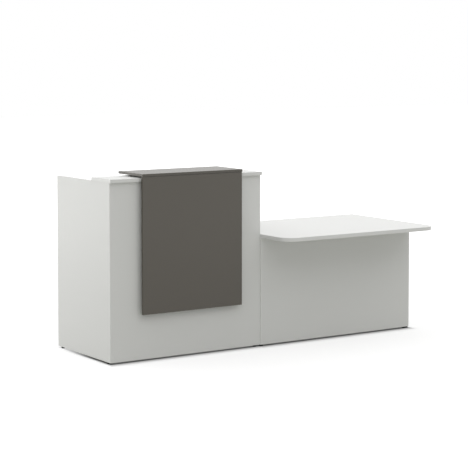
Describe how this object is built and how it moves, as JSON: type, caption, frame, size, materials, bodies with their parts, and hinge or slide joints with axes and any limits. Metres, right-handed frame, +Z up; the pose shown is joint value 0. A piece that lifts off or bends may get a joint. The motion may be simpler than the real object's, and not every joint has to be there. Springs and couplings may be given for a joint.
{
  "type": "reception counter",
  "caption": "White reception counter with a tall module, a dark board folded over its shelf and front, and a low overhanging desk at the right for seated visitors.",
  "frame": {"origin": "centre of the counter's box on the floor", "axes": "+Z up, -Y towards the visitor, +X along the front from the tall module to the low desk"},
  "size_m": [2.385, 0.995, 1.176],
  "materials": {
    "white_board": "white melamine-faced board with a fine satin grain",
    "white_edge": "white satin edge band",
    "graphite_board": "graphite melamine-faced board, satin",
    "graphite_edge": "graphite satin edge band",
    "black_plastic": "black moulded plastic",
    "zinc_steel": "bright zinc-plated steel",
    "cast_zinc": "raw zinc casting",
    "beech": "fluted beech dowel"
  },
  "bodies": {
    "counter": {"tall_left_end_panel": "white_board", "tall_right_end_panel": "white_board", "tall_front_panel": "white_board", "counter_shelf": "white_board", "staff_worktop": "white_board", "low_left_end_panel": "white_board", "low_right_end_panel": "white_board", "low_front_panel": "white_board", "low_desktop": "white_board", "tall_left_end_band": "white_edge", "tall_right_end_band": "white_edge", "tall_front_band": "white_edge", "counter_shelf_band": "white_edge", "staff_worktop_band": "white_edge", "low_left_end_band": "white_edge", "low_right_end_band": "white_edge", "low_desktop_band": "white_edge", "accent_top": "graphite_board", "accent_front": "graphite_board", "accent_packer": "graphite_board", "accent_top_band": "graphite_edge", "accent_front_band": "graphite_edge", "accent_standoffs": "black_plastic", "worktop_brackets": "zinc_steel", "desktop_brackets": "zinc_steel", "shelf_brackets": "zinc_steel", "bracket_screws": "zinc_steel", "accent_standoff_screws": "zinc_steel", "accent_top_screws": "zinc_steel", "cam_bolts": "zinc_steel", "link_sleeves": "zinc_steel", "link_bolts": "zinc_steel", "foot_inserts": "zinc_steel", "cam_locks": "cast_zinc", "panel_dowels": "beech", "accent_dowels": "beech"},
    "foot_tall_left_front": {"foot_tall_left_front_pad": "black_plastic", "foot_tall_left_front_stud": "zinc_steel"},
    "foot_tall_left_back": {"foot_tall_left_back_pad": "black_plastic", "foot_tall_left_back_stud": "zinc_steel"},
    "foot_tall_front_right": {"foot_tall_front_right_pad": "black_plastic", "foot_tall_front_right_stud": "zinc_steel"},
    "foot_tall_right_back": {"foot_tall_right_back_pad": "black_plastic", "foot_tall_right_back_stud": "zinc_steel"},
    "foot_low_left_front": {"foot_low_left_front_pad": "black_plastic", "foot_low_left_front_stud": "zinc_steel"},
    "foot_low_left_back": {"foot_low_left_back_pad": "black_plastic", "foot_low_left_back_stud": "zinc_steel"},
    "foot_low_front_right": {"foot_low_front_right_pad": "black_plastic", "foot_low_front_right_stud": "zinc_steel"},
    "foot_low_right_front": {"foot_low_right_front_pad": "black_plastic", "foot_low_right_front_stud": "zinc_steel"},
    "foot_low_right_back": {"foot_low_right_back_pad": "black_plastic", "foot_low_right_back_stud": "zinc_steel"}
  },
  "joints": [
    {"name": "foot_tall_left_front_screw", "type": "slide", "parent": "counter", "child": "foot_tall_left_front", "axis": [0, 0, -1], "range_m": [0, 0.015]},
    {"name": "foot_tall_left_back_screw", "type": "slide", "parent": "counter", "child": "foot_tall_left_back", "axis": [0, 0, -1], "range_m": [0, 0.015]},
    {"name": "foot_tall_front_right_screw", "type": "slide", "parent": "counter", "child": "foot_tall_front_right", "axis": [0, 0, -1], "range_m": [0, 0.015]},
    {"name": "foot_tall_right_back_screw", "type": "slide", "parent": "counter", "child": "foot_tall_right_back", "axis": [0, 0, -1], "range_m": [0, 0.015]},
    {"name": "foot_low_left_front_screw", "type": "slide", "parent": "counter", "child": "foot_low_left_front", "axis": [0, 0, -1], "range_m": [0, 0.015]},
    {"name": "foot_low_left_back_screw", "type": "slide", "parent": "counter", "child": "foot_low_left_back", "axis": [0, 0, -1], "range_m": [0, 0.015]},
    {"name": "foot_low_front_right_screw", "type": "slide", "parent": "counter", "child": "foot_low_front_right", "axis": [0, 0, -1], "range_m": [0, 0.015]},
    {"name": "foot_low_right_front_screw", "type": "slide", "parent": "counter", "child": "foot_low_right_front", "axis": [0, 0, -1], "range_m": [0, 0.015]},
    {"name": "foot_low_right_back_screw", "type": "slide", "parent": "counter", "child": "foot_low_right_back", "axis": [0, 0, -1], "range_m": [0, 0.015]}
  ]
}
